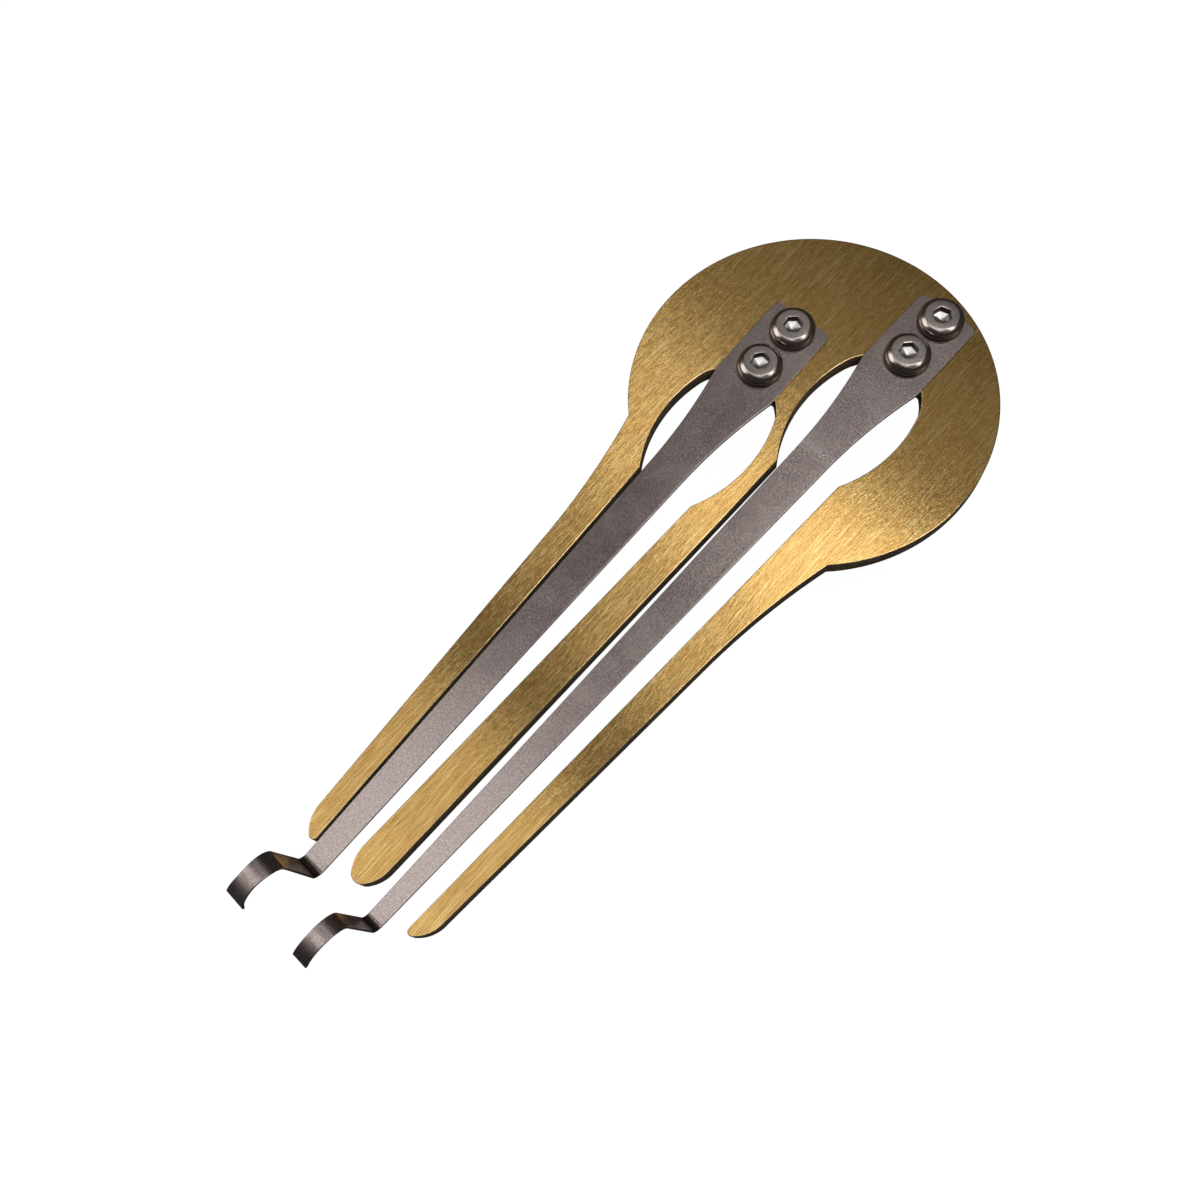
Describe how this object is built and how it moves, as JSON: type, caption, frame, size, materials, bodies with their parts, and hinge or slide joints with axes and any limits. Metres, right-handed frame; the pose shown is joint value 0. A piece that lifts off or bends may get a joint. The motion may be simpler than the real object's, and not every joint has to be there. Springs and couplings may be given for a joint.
{
  "type": "jaw harp",
  "caption": "Flat brass mouth harp with a round head, forked tines and screwed-on steel reeds whose bent-up triggers are plucked.",
  "frame": {"origin": "middle of the bounding box at the back of the plate, on the middle tine", "axes": "+Y along the harp from the triggers to the round head, +X across it to the right, +Z out of the face that carries the reeds"},
  "size_m": [0.044, 0.1068, 0.0144],
  "materials": {
    "brass": "brushed along the harp, slightly darkened, with polished edges",
    "reed_steel": "matt grey spring strip with a fine grain",
    "screw_steel": "dark stainless steel, smooth"
  },
  "bodies": {
    "frame": {"frame_plate": "brass", "left_reed_tab": "reed_steel", "right_reed_tab": "reed_steel", "left_rear_screw": "screw_steel", "left_front_screw": "screw_steel", "right_rear_screw": "screw_steel", "right_front_screw": "screw_steel"},
    "left_tongue": {"left_reed_tongue": "reed_steel"},
    "right_tongue": {"right_reed_tongue": "reed_steel"}
  },
  "joints": [
    {"name": "left_flex", "type": "hinge", "parent": "frame", "child": "left_tongue", "pos_m": [-0.00681, 0.02583, 0.00245], "axis": [-0.9998, -0.022, 0], "range_deg": [-6, 6], "stiffness_Nm_per_rad": 0.2},
    {"name": "right_flex", "type": "hinge", "parent": "frame", "child": "right_tongue", "pos_m": [0.00566, 0.03798, 0.00245], "axis": [-0.9998, 0.0199, 0], "range_deg": [-6, 6], "stiffness_Nm_per_rad": 0.2}
  ]
}
